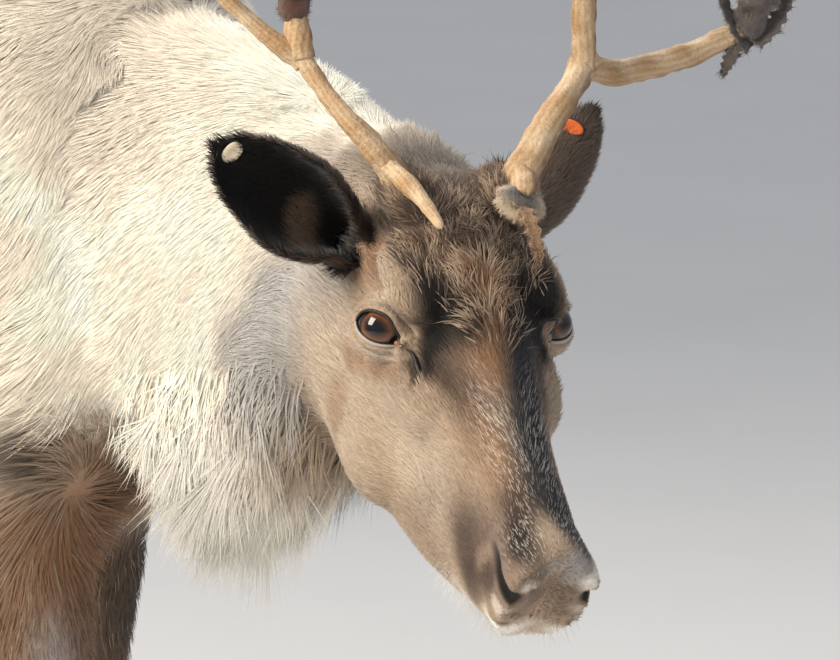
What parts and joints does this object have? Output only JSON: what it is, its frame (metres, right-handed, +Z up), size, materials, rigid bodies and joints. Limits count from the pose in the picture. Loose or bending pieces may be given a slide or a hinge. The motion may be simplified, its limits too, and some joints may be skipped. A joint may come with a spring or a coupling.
{
  "type": "reindeer",
  "caption": "Standing reindeer in a pale winter coat, head low and turned to its right, antlers shedding their velvet, small tags in its ears.",
  "frame": {"origin": "middle of the floor under the whole animal, at the level of its soles", "axes": "+X from the rump towards the breast, +Y to the animal's left, +Z up"},
  "size_m": [1.5066, 0.4426, 1.122],
  "materials": {
    "coat": "thick cream fur",
    "face_coat": "short dark brown fur",
    "tail_coat": "white fur",
    "leg_coat": "short brown fur",
    "ear_coat": "dark grey fur",
    "hoof": "worn black horn",
    "eye": "wet and dark brown",
    "antler_bone": "smooth tan bone",
    "brown_velvet": "dry brown velvet",
    "grey_velvet": "dry grey velvet",
    "cream_tag": "plain moulded plastic",
    "orange_tag": "plain moulded plastic"
  },
  "bodies": {
    "root": {"torso": "coat", "neck": "coat", "head": "face_coat", "tail": "tail_coat", "foreleg_right": "leg_coat", "foreleg_left": "leg_coat", "hindleg_right": "leg_coat", "hindleg_left": "leg_coat", "claw_foreleg_right_inner": "hoof", "dewclaw_foreleg_right_inner": "hoof", "claw_foreleg_right_outer": "hoof", "dewclaw_foreleg_right_outer": "hoof", "claw_foreleg_left_inner": "hoof", "dewclaw_foreleg_left_inner": "hoof", "claw_foreleg_left_outer": "hoof", "dewclaw_foreleg_left_outer": "hoof", "claw_hindleg_right_inner": "hoof", "dewclaw_hindleg_right_inner": "hoof", "claw_hindleg_right_outer": "hoof", "dewclaw_hindleg_right_outer": "hoof", "claw_hindleg_left_inner": "hoof", "dewclaw_hindleg_left_inner": "hoof", "claw_hindleg_left_outer": "hoof", "dewclaw_hindleg_left_outer": "hoof", "eye_right": "eye", "eye_left": "eye", "ear_right": "ear_coat", "ear_left": "ear_coat", "ear_tag_right": "cream_tag", "ear_tag_left": "orange_tag", "antler_right_beam": "antler_bone", "antler_right_front": "antler_bone", "antler_right_rear": "antler_bone", "antler_left_beam": "antler_bone", "antler_left_front": "antler_bone", "antler_left_rear": "antler_bone", "velvet_right_front": "brown_velvet", "velvet_left_rear": "grey_velvet", "velvet_left_brow": "grey_velvet"}
  },
  "joints": []
}
